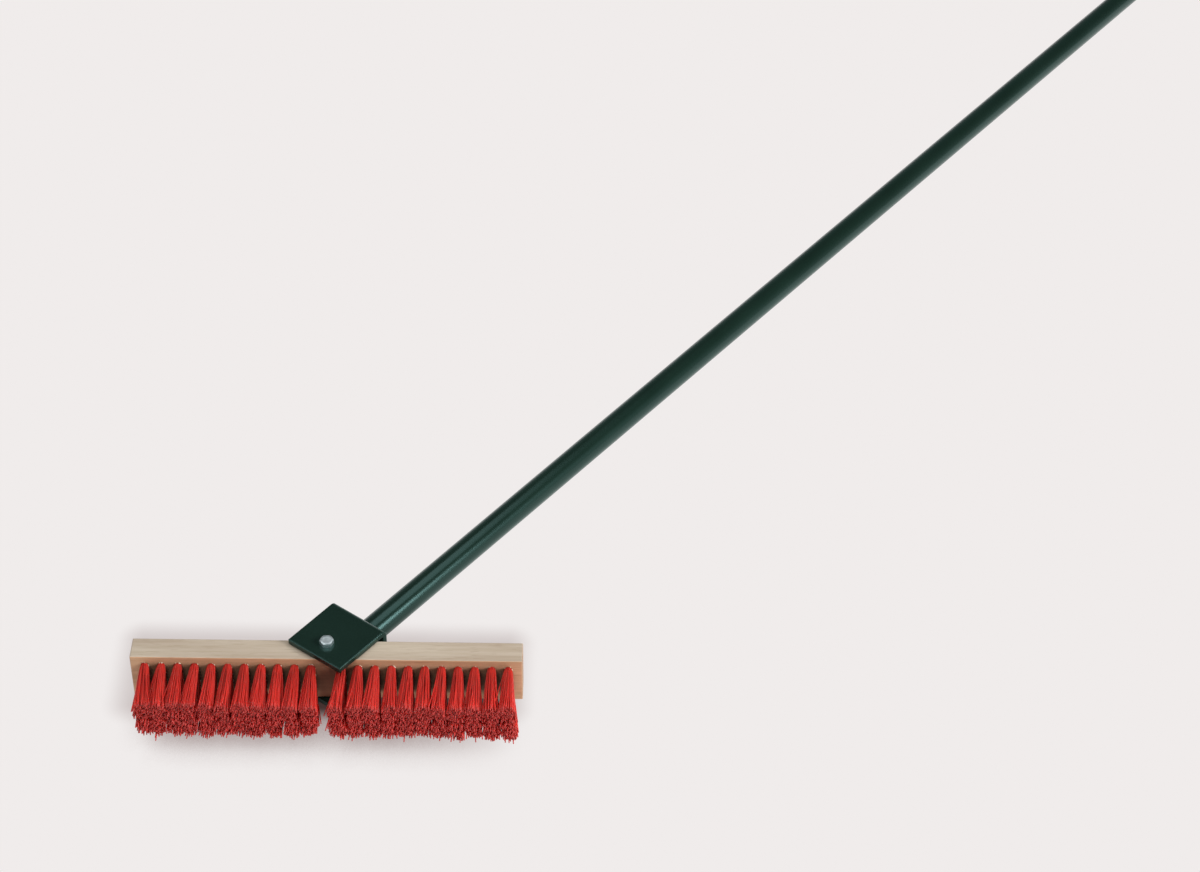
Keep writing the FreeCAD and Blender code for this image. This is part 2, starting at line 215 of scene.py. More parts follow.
FACING_LIMIT = 0.7
GRAIN_STRETCH = (9, 160, 160)
GRAIN_TILT = math.radians(1.2)
BAND_STRETCH = (2.2, 26, 26)
BAND_TILT = math.radians(2.5)
FLECK_STRETCH = (55, 900, 900)
FLECK_TONE = (0.27, 0.18, 0.12)
# Painted light on the brush face: a redder, brighter tint for the red light the tufts throw on it, turning to
# painted shade in the gap between the tuft groups.
BRUSH_FACE_BOUNCE_LIGHT = (1.22, 0.93, 0.71)
GAP_PAINTED_SHADE = (0.36, 0.13, 0.08)
SAWN_END_TINT = (0.80, 0.60, 0.50)


def block_sides(tree):
    """Two masks: the face the tufts leave from, and the sawn ends."""
    normal = tree.nodes.new("ShaderNodeTexCoord").outputs["Normal"]
    axes = add_node(tree, "ShaderNodeSeparateXYZ", Vector=normal)
    front = math_node(tree, "LESS_THAN", axes.outputs["Y"], -FACING_LIMIT)
    end = math_node(tree, "GREATER_THAN", math_node(tree, "ABSOLUTE", axes.outputs["X"]), FACING_LIMIT)
    return front, end


def tint_sides(tree, colour):
    """Paint red bounce light from the tufts on the brush face and painted shade in the gap between the tuft
    groups, and darken the sawn ends.
    """
    front, end = block_sides(tree)
    gap_middle = (HEAD.x, HEAD.y, HEAD.z - 12 * MM)
    gap_half = (4 * MM, 10 * MM, 20 * MM)
    from_gap = distance_outside(tree, stretched(tree, (1, 1, 1)), gap_middle, gap_half)
    painted_face_light = mix_colours(tree, fade(tree, from_gap, 0.0, 20 * MM, 0.9), BRUSH_FACE_BOUNCE_LIGHT, GAP_PAINTED_SHADE)
    faced = mix_colours(tree, front, colour, mix_colours(tree, 1.0, colour, painted_face_light, "MULTIPLY"))
    return mix_colours(tree, end, faced, mix_colours(tree, 1.0, colour, SAWN_END_TINT, "MULTIPLY"))


def make_wood():
    """Bare planed beech: fine grain along the block, short flecks and a few darker bands.

    The brush face and the sawn ends are redder; on the brush face this is painted red bounce light from the
    tufts, and painted shade darkens the wood between the tufts.
    """
    material, tree, shader = new_material("block_wood")
    along = stretched(tree, GRAIN_STRETCH, rotation=(0, 0, GRAIN_TILT))
    fibres = noise(tree, along, 1.6, detail=6, roughness=0.62, distortion=0.5)
    broad = stretched(tree, BAND_STRETCH, rotation=(0, 0, BAND_TILT))
    bands = noise(tree, broad, 1.3, detail=3, distortion=0.8)
    flecks = noise(tree, stretched(tree, FLECK_STRETCH), 1.0, detail=1)
    base = ramp(tree, bands, [(0.25, (0.40, 0.315, 0.235)), (0.5, (0.50, 0.415, 0.325)),
                              (0.75, (0.57, 0.49, 0.39))])
    fine = ramp(tree, fibres, [(0.3, (0.80, 0.76, 0.70)), (0.62, (1.0, 1.0, 1.0))])
    grained = mix_colours(tree, 0.75, base, fine, "MULTIPLY")
    fleck_mask = ramp(tree, flecks, [(0.64, (0, 0, 0)), (0.72, (1, 1, 1))])
    flecked = mix_colours(tree, math_node(tree, "MULTIPLY", fleck_mask, 0.35), grained, FLECK_TONE)
    faced = tint_sides(tree, flecked)
    # Painted shade: the wood darkens where other parts crowd close to it, between the tufts.
    nearby = add_node(tree, "ShaderNodeAmbientOcclusion", {"samples": 8}, Distance=0.02)
    painted_close_shade = ramp(tree, nearby.outputs["AO"], [(0.28, (0.10, 0.05, 0.035)), (0.58, (1.0, 1.0, 1.0))])
    tree.links.new(mix_colours(tree, 1.0, faced, painted_close_shade, "MULTIPLY"), shader.inputs["Base Color"])
    shader.inputs["Roughness"].default_value = 0.62
    shader.inputs["Specular IOR Level"].default_value = 0.3
    bump(tree, shader, fibres, 0.3 * MM, 0.5)
    return material


def make_bristle_plastic():
    """Red PVC filament: each filament a slightly different red, with painted shade at its root and its cut tip."""
    material, tree, shader = new_material("bristle_plastic")
    shade = add_node(tree, "ShaderNodeAttribute", {"attribute_name": "shade"}).outputs["Fac"]
    along = add_node(tree, "ShaderNodeAttribute", {"attribute_name": "along"}).outputs["Fac"]
    tone = ramp(tree, shade, [(0.0, (0.54, 0.029, 0.020)), (0.5, (0.64, 0.036, 0.027)),
                              (1.0, (0.71, 0.048, 0.034))])
    # Painted shade: the filament is darker near its root and at its cut tip.
    painted_root_tip_shade = ramp(tree, along, [(0.0, (0.84, 0.84, 0.84)), (0.3, (0.86, 0.86, 0.86)), (0.6, (1, 1, 1)),
                                     (0.93, (1, 1, 1)), (1.0, (0.64, 0.72, 0.77))])
    tree.links.new(mix_colours(tree, 1.0, tone, painted_root_tip_shade, "MULTIPLY"), shader.inputs["Base Color"])
    shader.inputs["Roughness"].default_value = 0.42
    shader.inputs["Specular IOR Level"].default_value = 0.30
    shader.inputs["Subsurface Weight"].default_value = 0.45
    shader.inputs["Subsurface Radius"].default_value = (1.0, 0.12, 0.08)
    shader.inputs["Subsurface Scale"].default_value = 2.2 * MM
    scratches = noise(tree, stretched(tree, (4000, 300, 4000)), 1.0, detail=1)
    bump(tree, shader, scratches, 0.04 * MM, 0.4)
    return material


EDGE_ROUNDING = 2 * MM


def make_green_paint(name, with_edges):
    """Dark green gloss enamel in two close tones and a painted sheen at its outlines, rounded over sharp edges
    where the piece has them.
    """
    material, tree, shader = new_material(name)
    clouds = noise(tree, stretched(tree, (1, 1, 1)), 14, detail=2)
    tone = ramp(tree, clouds, [(0.3, (0.0055, 0.0155, 0.0105)), (0.7, (0.0075, 0.0200, 0.0140))])
    # Painted reflection: the base colour turns brighter green towards the outlines, a painted sheen at the rims.
    facing = add_node(tree, "ShaderNodeLayerWeight", Blend=0.5).outputs["Facing"]
    rim = ramp(tree, facing, [(0.35, (0.0, 0.0, 0.0)), (0.8, (0.004, 0.026, 0.021))])
    tree.links.new(mix_colours(tree, 1.0, tone, rim, "ADD"), shader.inputs["Base Color"])
    shader.inputs["Roughness"].default_value = 0.23
    shader.inputs["Specular IOR Level"].default_value = 0.5
    shader.inputs["Specular Tint"].default_value = (0.52, 1.0, 0.98, 1)
    if with_edges:
        rounded = add_node(tree, "ShaderNodeBevel", {"samples": 6}, Radius=EDGE_ROUNDING)
        tree.links.new(rounded.outputs["Normal"], shader.inputs["Normal"])
    return material


def make_zinc():
    """Bright zinc plate, a little cloudy."""
    material, tree, shader = new_material("zinc_steel")
    clouds = noise(tree, stretched(tree, (1, 1, 1)), 260, detail=4, roughness=0.65)
    tone = ramp(tree, clouds, [(0.3, (0.55, 0.65, 0.68)), (0.7, (0.74, 0.83, 0.85))])
    tree.links.new(tone, shader.inputs["Base Color"])
    gloss = ramp(tree, clouds, [(0.3, (0.34, 0.34, 0.34)), (0.7, (0.50, 0.50, 0.50))])
    tree.links.new(gloss, shader.inputs["Roughness"])
    shader.inputs["Metallic"].default_value = 1.0
    bump(tree, shader, clouds, 0.05 * MM, 0.4)
    return material


def make_plain(name, dark, light, roughness, metallic=0.0, scale=300):
    """A moulded or rolled finish with two close tones and a fine texture."""
    material, tree, shader = new_material(name)
    grain = noise(tree, stretched(tree, (1, 1, 1)), scale, detail=3)
    tree.links.new(ramp(tree, grain, [(0.35, dark), (0.65, light)]), shader.inputs["Base Color"])
    shader.inputs["Roughness"].default_value = roughness
    shader.inputs["Metallic"].default_value = metallic
    bump(tree, shader, grain, 0.04 * MM, 0.4)
    return material


MATERIALS = {
    "block_wood": make_wood(),
    "bristle_plastic": make_bristle_plastic(),
    "green_paint": make_green_paint("green_paint", True),
    "tube_paint": make_green_paint("tube_paint", False),
    "zinc_steel": make_zinc(),
    "anchor_steel": make_plain("anchor_steel", (0.42, 0.42, 0.43), (0.55, 0.55, 0.56), 0.4,
                               metallic=1.0),
    "cap_plastic": make_plain("cap_plastic", (0.012, 0.012, 0.013), (0.020, 0.020, 0.021), 0.45),
    "nylon": make_plain("nylon", (0.62, 0.62, 0.56), (0.70, 0.70, 0.64), 0.5),
    "torn_wood": make_plain("torn_wood", (0.66, 0.55, 0.42), (0.80, 0.70, 0.56), 0.7, scale=900),
}


def paint_frame():
    """Give every CAD node the material of its slot."""
    slots = {part["node"]: part["material_slot"] for part in frame["record"]["subparts"]}
    for name, node in frame["nodes"].items():
        node.data.materials.clear()
        node.data.materials.append(MATERIALS[slots[name]])


# Bristles

FILAMENTS_PER_TUFT = 110
FILAMENT_RADIUS = 0.39 * MM
FILAMENT_SIDES = 6
RING_SHARES = (0.0, 0.05, 0.12, 0.28, 0.46, 0.64, 0.82, 1.0)
TUFTS_PER_ROW = 11
SOLID_TIP_WIDTH = 13.6 * MM
ROOT_RADIUS = 3.95 * MM
ROOT_COVER = 1 * MM
GOLDEN_ANGLE = math.pi * (3 - math.sqrt(5))

# How a tuft opens: its tips over its roots along X and up Z, the curve and swelling of that fan, and how
# much fans and leans differ from tuft to tuft.
FAN_ALONG = 2.15
FAN_UP = 1.75
FAN_VARIATION = 0.06
FAN_CURVE = 1.15
SWELLING = 0.24
SWELLING_END = 0.24
LEAN_VARIATIONS = (1.0, 0.8)
USUAL_LEAN = 0.3 * MM
END_LEANS = {"left": {0: 4.6 * MM, 1: 3.4 * MM, 2: 1.4 * MM, 10: 1.2 * MM},
             "right": {0: -1.6 * MM, 10: 1.2 * MM}}

# Each row, the highest first: how wide its tufts fan, how far they pass the solid tufts, and how ragged
# they end.
ROW_STYLES = {1: (1.08, 2.6 * MM, 0.9 * MM), 2: (1.08, 1.2 * MM, 1.8 * MM), 3: (1.12, 1.2 * MM, 2.0 * MM),
              4: (1.14, 1.2 * MM, 2.2 * MM)}

# How single filaments differ: at the root, at the tip, in their bow, in a tuft's length and round its end.
ROOT_JITTER = 0.06 * MM
TIP_JITTER = 0.85 * MM
STRAY_SHARE = 0.06
STRAY_JITTER = 3.4 * MM
BOW_JITTER = 0.5 * MM
TUFT_LENGTH_JITTER = 0.8 * MM
END_WAVE = 0.8 * MM
TIP_SPLAY = 0.48
SHADE_VARIATION = 0.15


def tuft_paths(rng, centre, length, depth, lean_along, style):
    """Centre lines of one tuft's filaments, as (filaments, rings, 3)."""
    spread, extra, ragged = style
    count = FILAMENTS_PER_TUFT
    index = np.arange(count)
    radius = (ROOT_RADIUS - FILAMENT_RADIUS) * np.sqrt((index + 0.5) / count)
    angle = index * GOLDEN_ANGLE + rng.uniform(0, 2 * math.pi)
    root = np.stack([radius * np.cos(angle), radius * np.sin(angle)], axis=1)
    root += rng.normal(0, ROOT_JITTER, root.shape)

    fan = np.array([FAN_ALONG * spread, FAN_UP]) * rng.normal(1.0, FAN_VARIATION, 2)
    lean = rng.normal(0, 1, 2) * np.array(LEAN_VARIATIONS) * MM
    lean[0] += lean_along
    tip = root * fan + lean + rng.normal(0, TIP_JITTER, root.shape)
    stray = rng.random(count) < STRAY_SHARE
    tip += stray[:, None] * rng.normal(0, STRAY_JITTER, root.shape)
    bow = rng.normal(0, BOW_JITTER, root.shape)

    wave = np.sin(2 * angle + rng.uniform(0, 2 * math.pi)) * END_WAVE
    reach = length + extra + rng.normal(0, TUFT_LENGTH_JITTER) + wave + rng.normal(0, ragged, count)

    share = np.array(RING_SHARES)[None, :, None]
    swell = 1 + SWELLING * np.sin(math.pi * np.clip(share / SWELLING_END, 0, 0.5)) * (1 - share)
    side = root[:, None, :] * swell + (tip - root)[:, None, :] * share ** FAN_CURVE
    side = side + bow[:, None, :] * np.sin(math.pi * share)
    along = -reach[:, None] * share[:, :, 0]
    free = np.stack([side[..., 0], along, side[..., 1]], axis=2)
    foot = np.stack([root[:, 0], np.full(count, depth), root[:, 1]], axis=1)[:, None, :]
    return np.concatenate([foot, free], axis=1) + np.array(centre)


def filament_mesh(name, paths, shades):
    """One mesh of closed tubes along the paths, with a shade and a share of length on every point."""
    count, rings = paths.shape[:2]
    sides = FILAMENT_SIDES
    turn = np.arange(sides) * 2 * math.pi / sides
    circle = np.stack([np.cos(turn), np.zeros(sides), np.sin(turn)], axis=1) * FILAMENT_RADIUS
    ring_share = np.concatenate([[0.0], RING_SHARES])
    splay = 1 + TIP_SPLAY * np.sqrt(ring_share)[None, :, None, None]
    points = (paths[:, :, None, :] + circle[None, None, :, :] * splay).reshape(-1, 3)

    here = np.arange(sides)
    following = (here + 1) % sides
    rows = (np.arange(rings - 1) * sides)[:, None]
    wall = np.stack([rows + here, rows + following, rows + sides + following, rows + sides + here],
                    axis=2)
    wall = wall.reshape(-1, 4)
    starts = np.arange(count) * rings * sides
    quads = (starts[:, None, None] + wall[None]).reshape(-1, 4)
    foot_caps = starts[:, None] + here[::-1][None, :]
    tip_caps = starts[:, None] + (rings - 1) * sides + here[None, :]

    mesh = bpy.data.meshes.new(name)
    mesh.from_pydata(points.tolist(), [], quads.tolist() + foot_caps.tolist() + tip_caps.tolist())
    smooth = np.zeros(len(mesh.polygons), dtype=bool)
    smooth[:len(quads)] = True
    mesh.polygons.foreach_set("use_smooth", smooth)
    shade = mesh.attributes.new("shade", "FLOAT", "POINT")
    shade.data.foreach_set("value", np.repeat(shades, rings * sides).astype(np.float32))
    along = mesh.attributes.new("along", "FLOAT", "POINT")
    shares = np.tile(np.repeat(ring_share, sides), count)
    along.data.foreach_set("value", shares.astype(np.float32))
    mesh.update()
    return mesh


def tuft_centres(node):
    """Middle of each tuft in a row node, on the brush face."""
    low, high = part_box(node)
    pitch = (high.x - low.x - SOLID_TIP_WIDTH) / (TUFTS_PER_ROW - 1)
    first = low.x + SOLID_TIP_WIDTH / 2
    height = (low.z + high.z) / 2
    return [Vector((first + pitch * number, HEAD.y, height)) for number in range(TUFTS_PER_ROW)]


def show(name, mesh, body, slot, replaced=None):
    """Put a mesh in the scene as a piece of a body, in place of a CAD node if one is named."""
    piece = bpy.data.objects.new(name, mesh)
    bpy.context.scene.collection.objects.link(piece)
    piece.data.materials.append(MATERIALS[slot])
    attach(piece, body)
    if replaced:
        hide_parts(replaced)


def make_bristles():
    """Replace each row of plain tufts with real filaments."""
    rng = np.random.default_rng(SEED)
    for side in ("left", "right"):
        for row, style in ROW_STYLES.items():
            node = "tufts_%s_row_%d" % (side, row)
            low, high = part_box(node)
            length = HEAD.y - low.y
            depth = high.y - HEAD.y - ROOT_COVER
            paths = []
            for number, centre in enumerate(tuft_centres(node)):
                lean_along = END_LEANS[side].get(number, USUAL_LEAN)
                paths.append(tuft_paths(rng, centre, length, depth, lean_along, style))
            paths = np.concatenate(paths)
            shades = np.clip(rng.normal(0.5, SHADE_VARIATION, len(paths)), 0, 1)
            name = "bristles_%s_row_%d" % (side, row)
            show(name, filament_mesh(name, paths, shades), "head", "bristle_plastic", node)


# Handle, weld, bolt and rim splinters

TUBE_SIDES = 96
SHARP_ANGLE = math.radians(32)


def outward_mesh(name, points, faces):
    """A mesh whose faces all point outward."""
    mesh = bpy.data.meshes.new(name)
    mesh.from_pydata(points, [], faces)
    shape = bmesh.new()
    shape.from_mesh(mesh)
    bmesh.ops.recalc_face_normals(shape, faces=shape.faces)
    shape.to_mesh(mesh)
    shape.free()
    return mesh


def grid_mesh(name, rings, close_ends):
    """Quads between equal closed rings of points; the end rings are capped, or else joined together."""
    sides = len(rings[0])
    points = [tuple(point) for ring in rings for point in ring]
    faces = []
    for row in range(len(rings) - 1):
        for side in range(sides):
            after = (side + 1) % sides
            low, high = row * sides, (row + 1) * sides
            faces.append((low + side, low + after, high + after, high + side))
    if close_ends:
        faces.append(tuple(range(sides))[::-1])
        faces.append(tuple(range((len(rings) - 1) * sides, len(rings) * sides)))
    else:
        last = (len(rings) - 1) * sides
        for side in range(sides):
            after = (side + 1) % sides
            faces.append((last + side, last + after, after, side))
    mesh = outward_mesh(name, points, faces)
    mesh.shade_smooth()
    mesh.set_sharp_from_angle(angle=SHARP_ANGLE)
    return mesh


def on_handle(along, radius, angle):
    """A point at a distance up the handle from the pivot, turned about the handle's axis."""
    across = Vector((-HANDLE_WAY.y, HANDLE_WAY.x, 0))
    return (PIVOT + HANDLE_WAY * along + across * (radius * math.cos(angle))
            + Vector((0, 0, radius * math.sin(angle))))


def turned_ring(along, radius):
    angles = [2 * math.pi * number / TUBE_SIDES for number in range(TUBE_SIDES)]
    return [on_handle(along, radius, angle) for angle in angles]


def make_tube_finish():
    """The painted tube again with a finer outline."""
    start, end = FORK_REACH, FORK_REACH + TUBE_LENGTH
    bore = TUBE_RADIUS - TUBE_WALL
    foot = TUBE_RADIUS - FOOT_RELIEF
    profile = [(start, bore), (start, foot), (start + FOOT_LENGTH, foot),
               (start + FOOT_LENGTH, TUBE_RADIUS), (end, TUBE_RADIUS), (end, bore)]
    rings = [turned_ring(along, radius) for along, radius in profile]
    mesh = grid_mesh("handle_tube_finish", rings, False)
    show("handle_tube_finish", mesh, "handle", "tube_paint", "handle_tube")


WELD_STEPS = 288
WELD_RIPPLES = 44
WELD_ARC_STEPS = 8
WELD_CROWN = 0.16
RIPPLE_LOW = 0.80
RIPPLE_RISE = 0.20
RIPPLE_VARIATION = 0.05


def weld_section():
    """The bead's section, a bulging face and then its corner, as shares of its leg up and out."""
    section = []
    for part in range(WELD_ARC_STEPS + 1):
        turn = math.pi / 2 * part / WELD_ARC_STEPS
        dome = 1 + WELD_CROWN * math.sin(2 * turn)
        share_out, share_up = math.cos(turn), math.sin(turn)
        total = share_out + share_up
        section.append((share_up / total * dome, share_out / total * dome))
    return section + [(0, 0)]


def make_weld_bead():
    """A fillet bead laid in overlapping ripples round the foot of the tube."""
    rng = np.random.default_rng(SEED + 1)
    foot = TUBE_RADIUS - FOOT_RELIEF
    widths = 1 + rng.normal(0, RIPPLE_VARIATION, WELD_RIPPLES)
    section = weld_section()
    rings = []
    for step in range(WELD_STEPS):
        angle = 2 * math.pi * step / WELD_STEPS
        position = WELD_RIPPLES * step / WELD_STEPS
        number = int(position) % WELD_RIPPLES
        inside = position - int(position)
        rise = math.sqrt(math.sin(math.pi * (0.12 + 0.76 * inside)))
        leg = WELD_LEG * (RIPPLE_LOW + RIPPLE_RISE * rise * widths[number])
        rings.append([on_handle(FORK_REACH + up * leg, foot + out * leg, angle) for up, out in section])
    show("weld_bead", grid_mesh("weld_bead", rings, False), "handle", "green_paint", "fork_weld")


BOLT_SIDES = 96
FORGED_DIP = 0.10 * MM
FORGED_DIP_RADII = (2.6 * MM, 3.2 * MM, 3.5 * MM)
CHAMFER_INSET = 0.35 * MM
CHAMFER_SLOPE = math.tan(math.radians(30))
UNDERSIDE_RISE = 0.3 * MM
UNDERSIDE_INSET = 0.2 * MM
THREAD_RINGS = 150
POINT_LENGTH = 1.2 * MM
POINT_INSET = 0.9 * MM


def bolt_ring(height_at, radius_at):
    """A closed ring round the pivot, its height and radius given as functions of the angle."""
    ring = []
    for number in range(BOLT_SIDES):
        angle = 2 * math.pi * number / BOLT_SIDES
        radius = radius_at(angle)
        ring.append((PIVOT.x + radius * math.cos(angle), PIVOT.y + radius * math.sin(angle),
                     height_at(angle)))
    return ring


def level(value):
    """The same height or radius at every angle."""
    return lambda angle: value


def hexagon(angle):
    """Distance from the middle of the bolt's hexagon to its edge at an angle."""
    turned = (angle - math.radians(HEX_TURN)) % (math.pi / 3)
    return HEX_SIZE / 2 / math.cos(turned - math.pi / 6)


def head_rings(top):
    """The bolt's head from the dip forged in its top to the start of the shank."""
    base = top - HEAD_HEIGHT
    flat = HEX_SIZE / 2 - CHAMFER_INSET
    dip_inner, dip_foot, dip_edge = FORGED_DIP_RADII

    def chamfer(angle):
        return top - (hexagon(angle) - flat) * CHAMFER_SLOPE

    def underside(angle):
        return hexagon(angle) - UNDERSIDE_INSET

    return [bolt_ring(level(top - FORGED_DIP), level(dip_inner)),
            bolt_ring(level(top - FORGED_DIP), level(dip_foot)),
            bolt_ring(level(top), level(dip_edge)),
            bolt_ring(level(top), level(flat)),
            bolt_ring(chamfer, hexagon),
            bolt_ring(level(base + UNDERSIDE_RISE), hexagon),
            bolt_ring(level(base), underside),
            bolt_ring(level(base), level(BOLT_RADIUS))]


def thread_ring(bottom, depth):
    """One ring of the cut thread, at a depth below the thread's start."""
    height = bottom + THREAD_LENGTH - depth
    runout = min(1, depth / THREAD_PITCH)
    point = max(0, 1 - (height - bottom) / POINT_LENGTH)

    def radius_at(angle):
        phase = (depth / THREAD_PITCH + angle / (2 * math.pi)) % 1
        groove = THREAD_DEPTH * (1 - abs(2 * phase - 1)) * runout
        return min(BOLT_RADIUS - groove, BOLT_RADIUS - point * POINT_INSET)

    return bolt_ring(level(height), radius_at)


def make_bolt():
    """Bolt with a chamfered hexagon head, a plain shank and a cut thread."""
    low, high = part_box("pivot_bolt")
    rings = head_rings(high.z)
    rings.append(bolt_ring(level(low.z + THREAD_LENGTH), level(BOLT_RADIUS)))
    for step in range(1, THREAD_RINGS + 1):
        rings.append(thread_ring(low.z, THREAD_LENGTH * step / THREAD_RINGS))
    mesh = grid_mesh("pivot_bolt_finish", rings, True)
    show("pivot_bolt_finish", mesh, "handle", "zinc_steel", "pivot_bolt")


SPLINTERS_AT_LEAST, SPLINTERS_BELOW = 3, 7
SPLINTER_DIRECTION = math.radians(35)
SPLINTER_SCATTER = math.radians(55)
SPLINTER_FOOT = -0.2 * MM


def splinter_points(rng, centre):
    """Four foot points on a hole's rim and one torn tip."""
    angle = rng.normal(SPLINTER_DIRECTION, SPLINTER_SCATTER)
    span = rng.uniform(0.5, 1.5) * MM / HOLE_RADIUS
    reach = rng.uniform(0.5, 1.6) * MM
    thick = rng.uniform(0.12, 0.3) * MM
    inner, outer = HOLE_RADIUS, HOLE_RADIUS + thick * 2.2
    tip_angle = angle + rng.normal(0, 0.08)
    tip_radius = HOLE_RADIUS + thick + rng.normal(0.1, 0.2) * MM
    corners = ((angle - span / 2, inner, SPLINTER_FOOT), (angle + span / 2, inner, SPLINTER_FOOT),
               (angle + span / 2, outer, SPLINTER_FOOT), (angle - span / 2, outer, SPLINTER_FOOT),
               (tip_angle, tip_radius, reach))
    return [(centre.x + radius * math.cos(turn), HEAD.y - out, centre.z + radius * math.sin(turn))
            for turn, radius, out in corners]


def make_splinters():
    """Pale torn fibres standing up round the rims of the tuft holes."""
    rng = np.random.default_rng(SEED + 2)
    points, faces = [], []
    pyramid = ((3, 2, 1, 0), (0, 1, 4), (1, 2, 4), (2, 3, 4), (3, 0, 4))
    for side in ("left", "right"):
        for row in ROW_STYLES:
            for centre in tuft_centres("tufts_%s_row_%d" % (side, row)):
                for _ in range(rng.integers(SPLINTERS_AT_LEAST, SPLINTERS_BELOW)):
                    first = len(points)
                    points += splinter_points(rng, centre)
                    faces += [[first + corner for corner in face] for face in pyramid]
    show("rim_splinters", outward_mesh("rim_splinters", points, faces), "head", "torn_wood")


# Floor, light and camera

PAPER = (0.871, 0.838, 0.831)
SHADOW_TONE = (0.25, 0.16, 0.15)
UNDER_BLOCK_SHADE_TONE = (0.03, 0.009, 0.007)
OCCLUSION_REACH = 60 * MM
CONTACT_THRESHOLD = 0.28
CONTACT_GAIN = 1.45
CONTACT_FADE_START = 60 * MM
CONTACT_FADE_END = 250 * MM
FLOOR_SIZE = 60

# Soft-edged patches of painted shadow on the floor: the middle as steps from the head point, the half sizes,
# and the width of the edge.
CONTACT_PATCH = ((0, -10 * MM), (200 * MM, 90 * MM), 60 * MM)
HALO_SHADOW_PATCH = ((-12 * MM, 52 * MM), (192 * MM, 46 * MM), 36 * MM)
UNDER_BLOCK_SHADE_PATCH = ((-5 * MM, 22 * MM), (170 * MM, 18 * MM), 24 * MM)


def floor_patch(tree, place, patch, strength):
    """A patch's strength, fading to 0 across its edge."""
    (step_x, step_y), half, edge = patch
    middle = (HEAD.x + step_x, HEAD.y + step_y, FLOOR_Z)
    return fade(tree, distance_outside(tree, place, middle, (*half, 1)), 0.0, edge, strength)


def contact_shadow(tree, place):
    """How much the brush hides the floor, kept near the brush and fading towards its right end."""
    occlusion = add_node(tree, "ShaderNodeAmbientOcclusion", {"samples": 8}, Distance=OCCLUSION_REACH)
    hidden = math_node(tree, "SUBTRACT", 1.0, occlusion.outputs["AO"])
    past = math_node(tree, "SUBTRACT", hidden, CONTACT_THRESHOLD)
    contact = math_node(tree, "MULTIPLY", past, CONTACT_GAIN, clamp=True)
    along = add_node(tree, "ShaderNodeSeparateXYZ", Vector=place).outputs["X"]
    left = fade(tree, along, HEAD.x + CONTACT_FADE_START, HEAD.x + CONTACT_FADE_END, 1.0)
    near = floor_patch(tree, place, CONTACT_PATCH, 1.0)
    return math_node(tree, "MULTIPLY", math_node(tree, "MULTIPLY", contact, left), near)


def make_floor():
    """A pale paper floor that glows evenly, with painted shade: a contact shadow, a faint shadow halo behind the
    block and a dark patch below it.
    """
    material, tree, shader = new_material("floor_paper")
    tree.nodes.remove(shader)
    place = stretched(tree, (1, 1, 1))
    contact = contact_shadow(tree, place)
    # Painted shadow: a faint halo on the floor behind the block.
    halo = floor_patch(tree, place, HALO_SHADOW_PATCH, 0.36)
    bright = math_node(tree, "MULTIPLY", math_node(tree, "SUBTRACT", 1.0, contact),
                       math_node(tree, "SUBTRACT", 1.0, halo))
    tone = mix_colours(tree, bright, SHADOW_TONE, PAPER)
    # Painted shade: a dark patch on the floor right under the block.
    tone = mix_colours(tree, floor_patch(tree, place, UNDER_BLOCK_SHADE_PATCH, 0.9), tone, UNDER_BLOCK_SHADE_TONE)
    glow = add_node(tree, "ShaderNodeEmission", Color=tone)
    tree.links.new(glow.outputs[0], tree.nodes["Material Output"].inputs["Surface"])
    material.cycles.emission_sampling = "NONE"
    bpy.ops.mesh.primitive_plane_add(size=FLOOR_SIZE, location=(0, 0, FLOOR_Z))
    floor = bpy.context.object
    floor.name = "floor"
    floor.data.materials.append(material)


def direction(azimuth, elevation):
    """A unit vector: azimuth 0 is +Y and 90 is +X, in degrees."""
    turn, rise = math.radians(azimuth), math.radians(elevation)
    return Vector((math.sin(turn) * math.cos(rise), math.cos(turn) * math.cos(rise), math.sin(rise)))


def add_softbox(name, azimuth, elevation, distance, size, irradiance, roll=0.0):
    """A rectangular light that faces the head, its size in metres and its roll in degrees."""
    light = bpy.data.lights.new(name, "AREA")
    light.shape = "RECTANGLE"
    light.size, light.size_y = size
    light.energy = irradiance * math.pi * distance ** 2
    lamp = bpy.data.objects.new(name, light)
    bpy.context.scene.collection.objects.link(lamp)
    way = direction(azimuth, elevation)
    lamp.location = HEAD + distance * way
    facing = (-way).to_track_quat("-Z", "Y") @ Quaternion((0, 0, 1), math.radians(roll))
    lamp.rotation_euler = facing.to_euler()


def make_lights():
    """A key and a narrow strip on the right, which the tube mirrors, and softer fills round the brush."""
    add_softbox("key_right", 112, 29, distance=4.0, size=(1.77, 1.4), irradiance=2.88)
    add_softbox("strip_right", 93.2, 20.5, distance=1.5, size=(0.17, 0.56), irradiance=0.52, roll=-28)
    add_softbox("front_high", 190, 62, distance=2.4, size=(1.0, 0.8), irradiance=1.1)
    add_softbox("left_card", 255, 35, distance=2.0, size=(1.0, 0.8), irradiance=0.40)
    add_softbox("back_left", 315, 60, distance=2.6, size=(1.3, 1.1), irradiance=0.35)
    add_softbox("back_softbox", 39, 57, distance=2.0, size=(1.4, 0.6), irradiance=0.38)


STUDIO_TINT = (1.0, 0.99, 0.98)
STUDIO_STRENGTH = 0.03
MIRRORED_BASE = 0.08
MIRRORED_HORIZON = 0.20
MIRRORED_FRONT = 1.1


def mirrored_strength(tree):
    """How bright the studio is when mirrored: brighter near the horizon, most of all in front."""
    way = tree.nodes.new("ShaderNodeTexCoord").outputs["Generated"]
    axes = add_node(tree, "ShaderNodeSeparateXYZ", Vector=way)
    horizon = fade(tree, axes.outputs["Z"], 0.0, 0.65, MIRRORED_HORIZON)
    front = math_node(tree, "MULTIPLY", fade(tree, axes.outputs["Z"], 0.3, 0.85, MIRRORED_FRONT),
                      fade(tree, axes.outputs["Y"], -0.4, 0.1, 1.0))
    return math_node(tree, "ADD", math_node(tree, "ADD", horizon, MIRRORED_BASE), front)


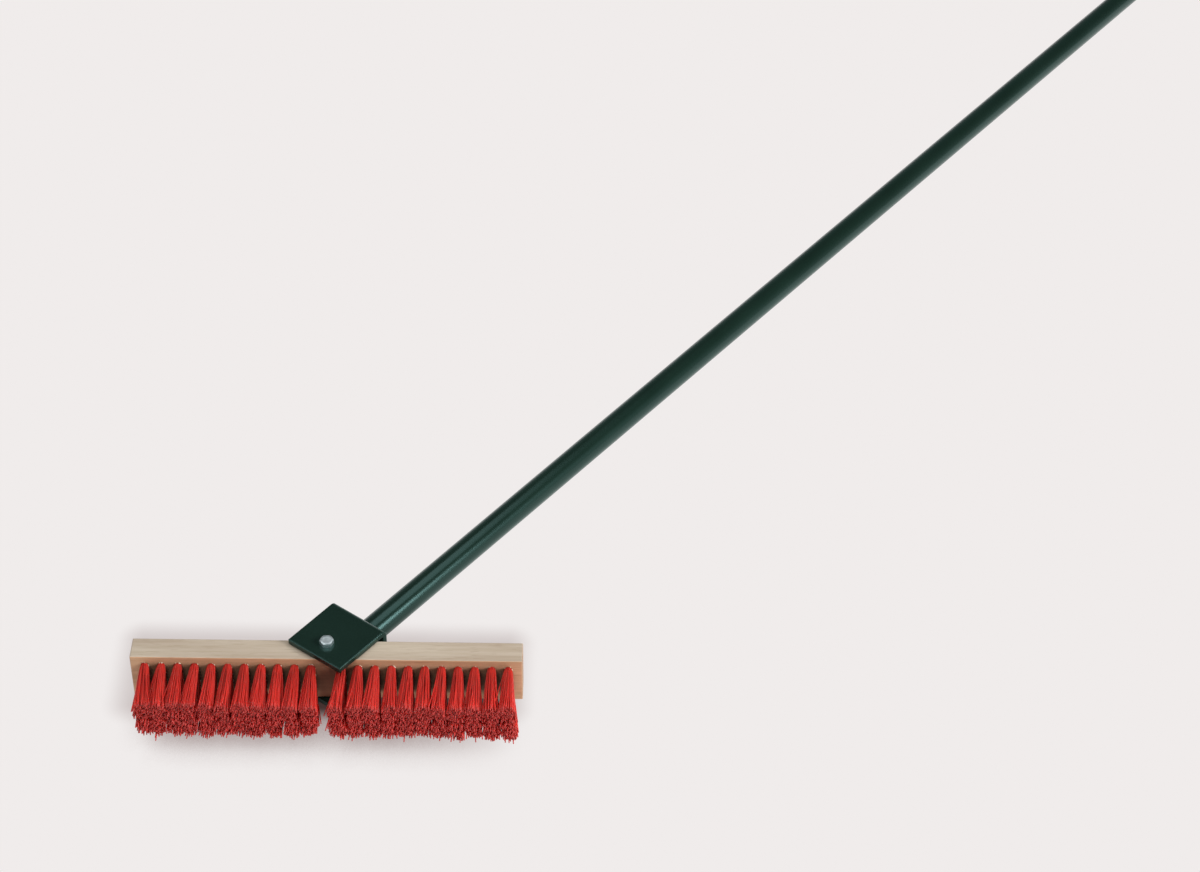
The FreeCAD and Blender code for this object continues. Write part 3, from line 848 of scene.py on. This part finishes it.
def make_studio():
    """A dim surround that looks brighter when mirrored, and has the paper's colour behind the floor."""
    world = bpy.data.worlds.new("studio")
    world.use_nodes = True
    bpy.context.scene.world = world
    tree = world.node_tree
    background = tree.nodes["Background"]
    background.inputs["Color"].default_value = (*STUDIO_TINT, 1)
    background.inputs["Strength"].default_value = STUDIO_STRENGTH
    strength = mirrored_strength(tree)
    mirrored = add_node(tree, "ShaderNodeBackground", Color=(1.0, 1.0, 1.0, 1), Strength=strength)
    seen = add_node(tree, "ShaderNodeBackground", Color=(*PAPER, 1))
    path = tree.nodes.new("ShaderNodeLightPath")
    shown = background
    for ray, other in (("Is Glossy Ray", mirrored), ("Is Camera Ray", seen)):
        mix = add_node(tree, "ShaderNodeMixShader", Fac=path.outputs[ray])
        tree.links.new(shown.outputs[0], mix.inputs[1])
        tree.links.new(other.outputs[0], mix.inputs[2])
        shown = mix
    tree.links.new(shown.outputs[0], tree.nodes["World Output"].inputs["Surface"])


CAMERA_LENS = 83.1
CAMERA_FROM_HEAD = Vector((0.2739, -1.9938, 2.0330))
CAMERA_TURN = math.radians(-0.06)
CAMERA_DOWN = math.radians(40.49)
CAMERA_ROLL = math.radians(0.753)


def make_camera():
    """Looks down on the brush from the tufts' side."""
    camera = bpy.data.cameras.new("camera")
    camera.sensor_width = 36
    camera.lens = CAMERA_LENS
    camera.clip_end = 100
    holder = bpy.data.objects.new("camera", camera)
    bpy.context.scene.collection.objects.link(holder)
    turn = Matrix.Rotation(CAMERA_TURN, 4, "Z")
    tilt = Matrix.Rotation(math.pi / 2 - CAMERA_DOWN, 4, "X")
    roll = Matrix.Rotation(CAMERA_ROLL, 4, "Z")
    holder.matrix_world = Matrix.Translation(HEAD + CAMERA_FROM_HEAD) @ turn @ tilt @ roll
    bpy.context.scene.camera = holder


make_camera()
make_floor()
make_lights()
make_studio()
paint_frame()
make_bristles()
make_tube_finish()
make_weld_bead()
make_bolt()
make_splinters()
bpy.context.scene.view_settings.view_transform = "Standard"
